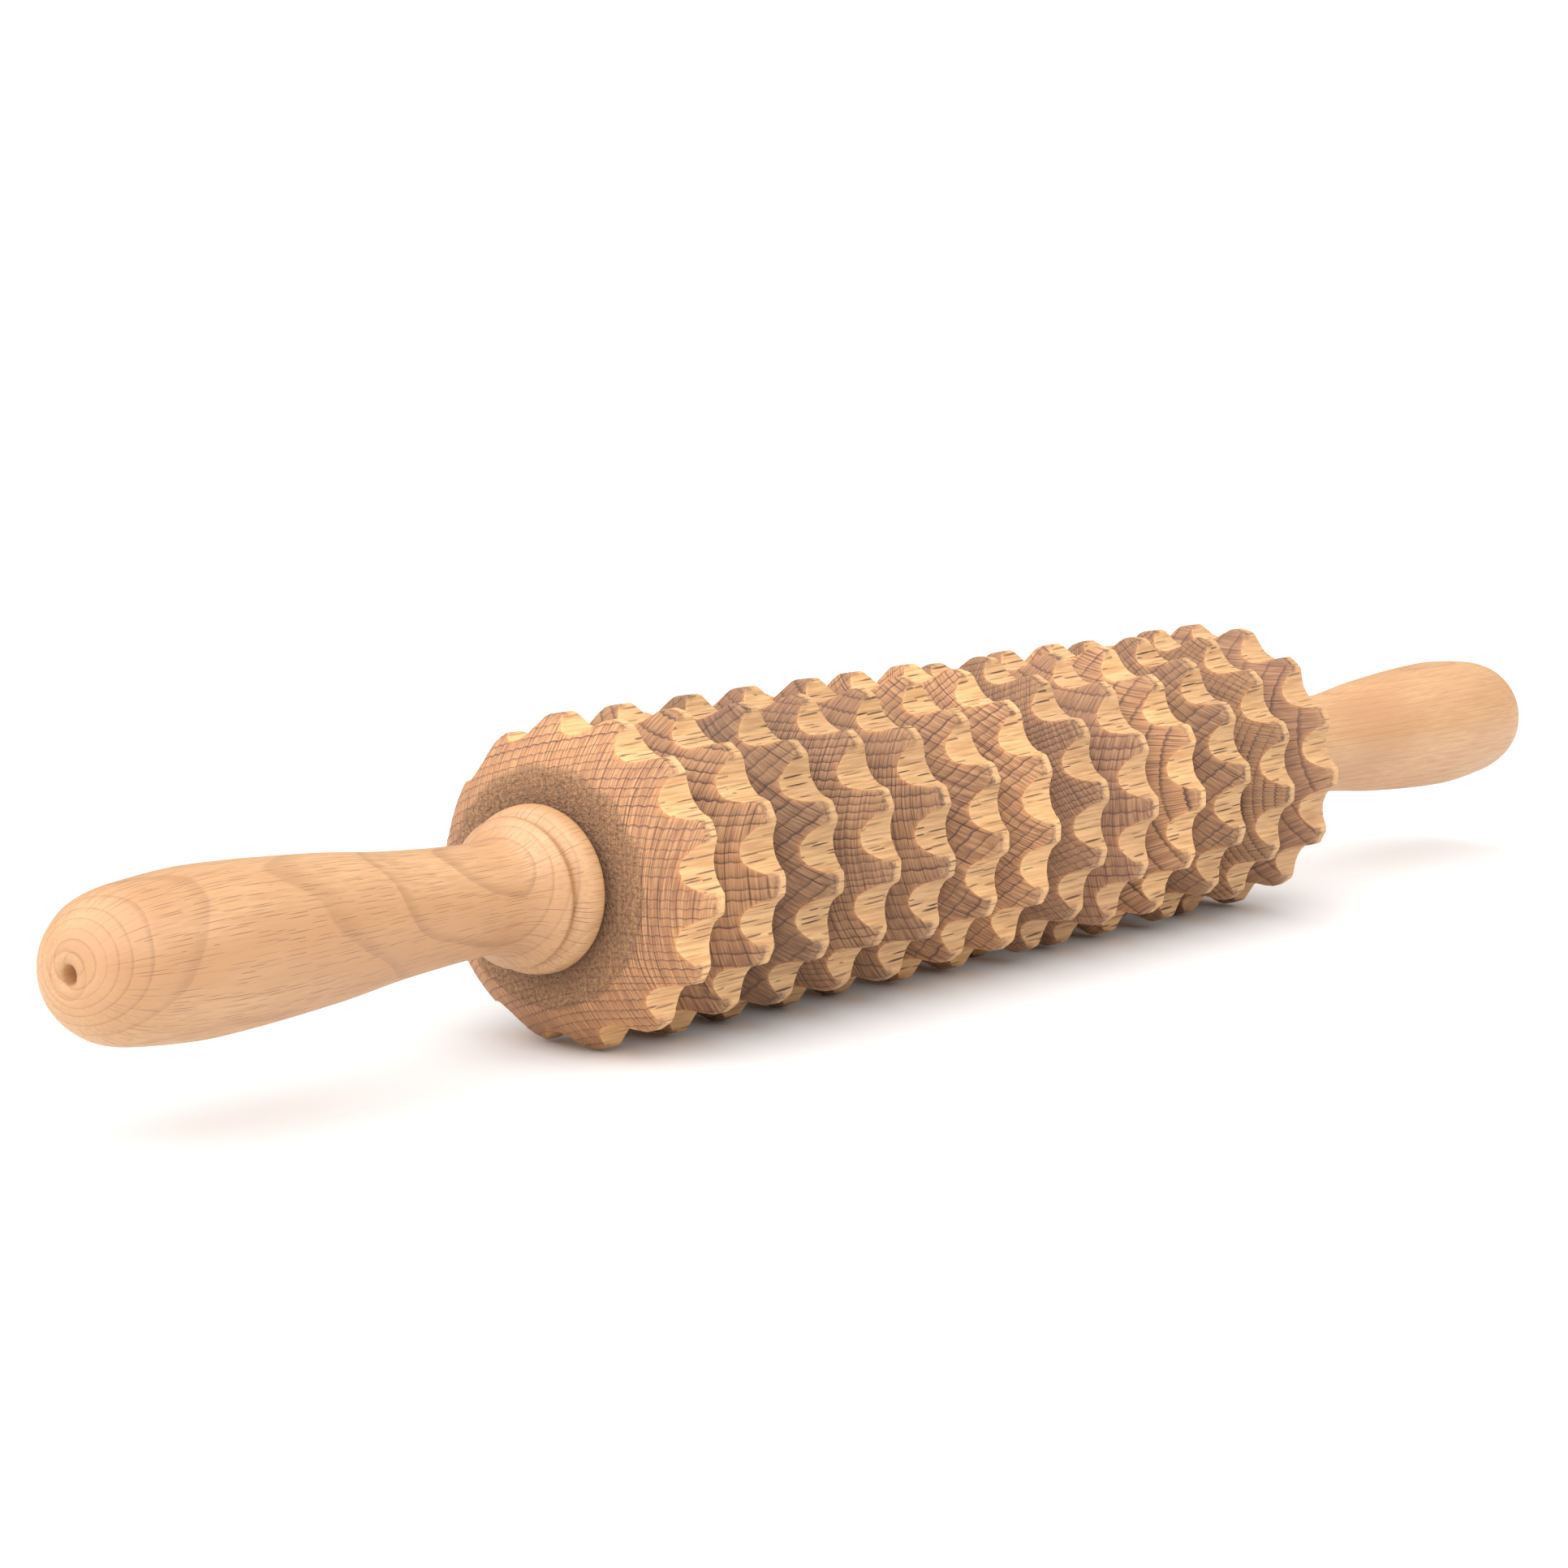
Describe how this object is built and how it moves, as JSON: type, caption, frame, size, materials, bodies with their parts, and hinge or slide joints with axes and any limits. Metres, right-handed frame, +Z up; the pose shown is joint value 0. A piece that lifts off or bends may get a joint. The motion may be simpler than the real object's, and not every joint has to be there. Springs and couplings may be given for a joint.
{
  "type": "foot massage roller",
  "caption": "Wooden roller with a row of toothed discs spinning freely on an axle between two turned handles.",
  "frame": {"origin": "on the floor, below the middle of the object", "axes": "+X along the axle, towards the right handle; +Z up"},
  "size_m": [0.4708, 0.06, 0.06],
  "materials": {
    "disc_wood": "bare beech, end grain on the sloping faces, planed flutes",
    "handle_wood": "bare beech, turned and sanded smooth",
    "axle_wood": "bare beech dowel"
  },
  "bodies": {
    "axle_and_handles": {"axle": "axle_wood", "left_handle": "handle_wood", "right_handle": "handle_wood"},
    "disc_01_body": {"disc_01": "disc_wood"},
    "disc_02_body": {"disc_02": "disc_wood"},
    "disc_03_body": {"disc_03": "disc_wood"},
    "disc_04_body": {"disc_04": "disc_wood"},
    "disc_05_body": {"disc_05": "disc_wood"},
    "disc_06_body": {"disc_06": "disc_wood"},
    "disc_07_body": {"disc_07": "disc_wood"},
    "disc_08_body": {"disc_08": "disc_wood"},
    "disc_09_body": {"disc_09": "disc_wood"},
    "disc_10_body": {"disc_10": "disc_wood"},
    "disc_11_body": {"disc_11": "disc_wood"},
    "disc_12_body": {"disc_12": "disc_wood"},
    "disc_13_body": {"disc_13": "disc_wood"}
  },
  "joints": [
    {"name": "disc_01_spin", "type": "hinge", "parent": "axle_and_handles", "child": "disc_01_body", "pos_m": [-0.1089, 0, 0.03], "axis": [1, 0, 0], "continuous": true},
    {"name": "disc_02_spin", "type": "hinge", "parent": "axle_and_handles", "child": "disc_02_body", "pos_m": [-0.0909, 0, 0.03], "axis": [1, 0, 0], "continuous": true},
    {"name": "disc_03_spin", "type": "hinge", "parent": "axle_and_handles", "child": "disc_03_body", "pos_m": [-0.0729, 0, 0.03], "axis": [1, 0, 0], "continuous": true},
    {"name": "disc_04_spin", "type": "hinge", "parent": "axle_and_handles", "child": "disc_04_body", "pos_m": [-0.0549, 0, 0.03], "axis": [1, 0, 0], "continuous": true},
    {"name": "disc_05_spin", "type": "hinge", "parent": "axle_and_handles", "child": "disc_05_body", "pos_m": [-0.0369, 0, 0.03], "axis": [1, 0, 0], "continuous": true},
    {"name": "disc_06_spin", "type": "hinge", "parent": "axle_and_handles", "child": "disc_06_body", "pos_m": [-0.0189, 0, 0.03], "axis": [1, 0, 0], "continuous": true},
    {"name": "disc_07_spin", "type": "hinge", "parent": "axle_and_handles", "child": "disc_07_body", "pos_m": [-0.0009, 0, 0.03], "axis": [1, 0, 0], "continuous": true},
    {"name": "disc_08_spin", "type": "hinge", "parent": "axle_and_handles", "child": "disc_08_body", "pos_m": [0.0171, 0, 0.03], "axis": [1, 0, 0], "continuous": true},
    {"name": "disc_09_spin", "type": "hinge", "parent": "axle_and_handles", "child": "disc_09_body", "pos_m": [0.0351, 0, 0.03], "axis": [1, 0, 0], "continuous": true},
    {"name": "disc_10_spin", "type": "hinge", "parent": "axle_and_handles", "child": "disc_10_body", "pos_m": [0.0531, 0, 0.03], "axis": [1, 0, 0], "continuous": true},
    {"name": "disc_11_spin", "type": "hinge", "parent": "axle_and_handles", "child": "disc_11_body", "pos_m": [0.0711, 0, 0.03], "axis": [1, 0, 0], "continuous": true},
    {"name": "disc_12_spin", "type": "hinge", "parent": "axle_and_handles", "child": "disc_12_body", "pos_m": [0.0891, 0, 0.03], "axis": [1, 0, 0], "continuous": true},
    {"name": "disc_13_spin", "type": "hinge", "parent": "axle_and_handles", "child": "disc_13_body", "pos_m": [0.1071, 0, 0.03], "axis": [1, 0, 0], "continuous": true}
  ]
}
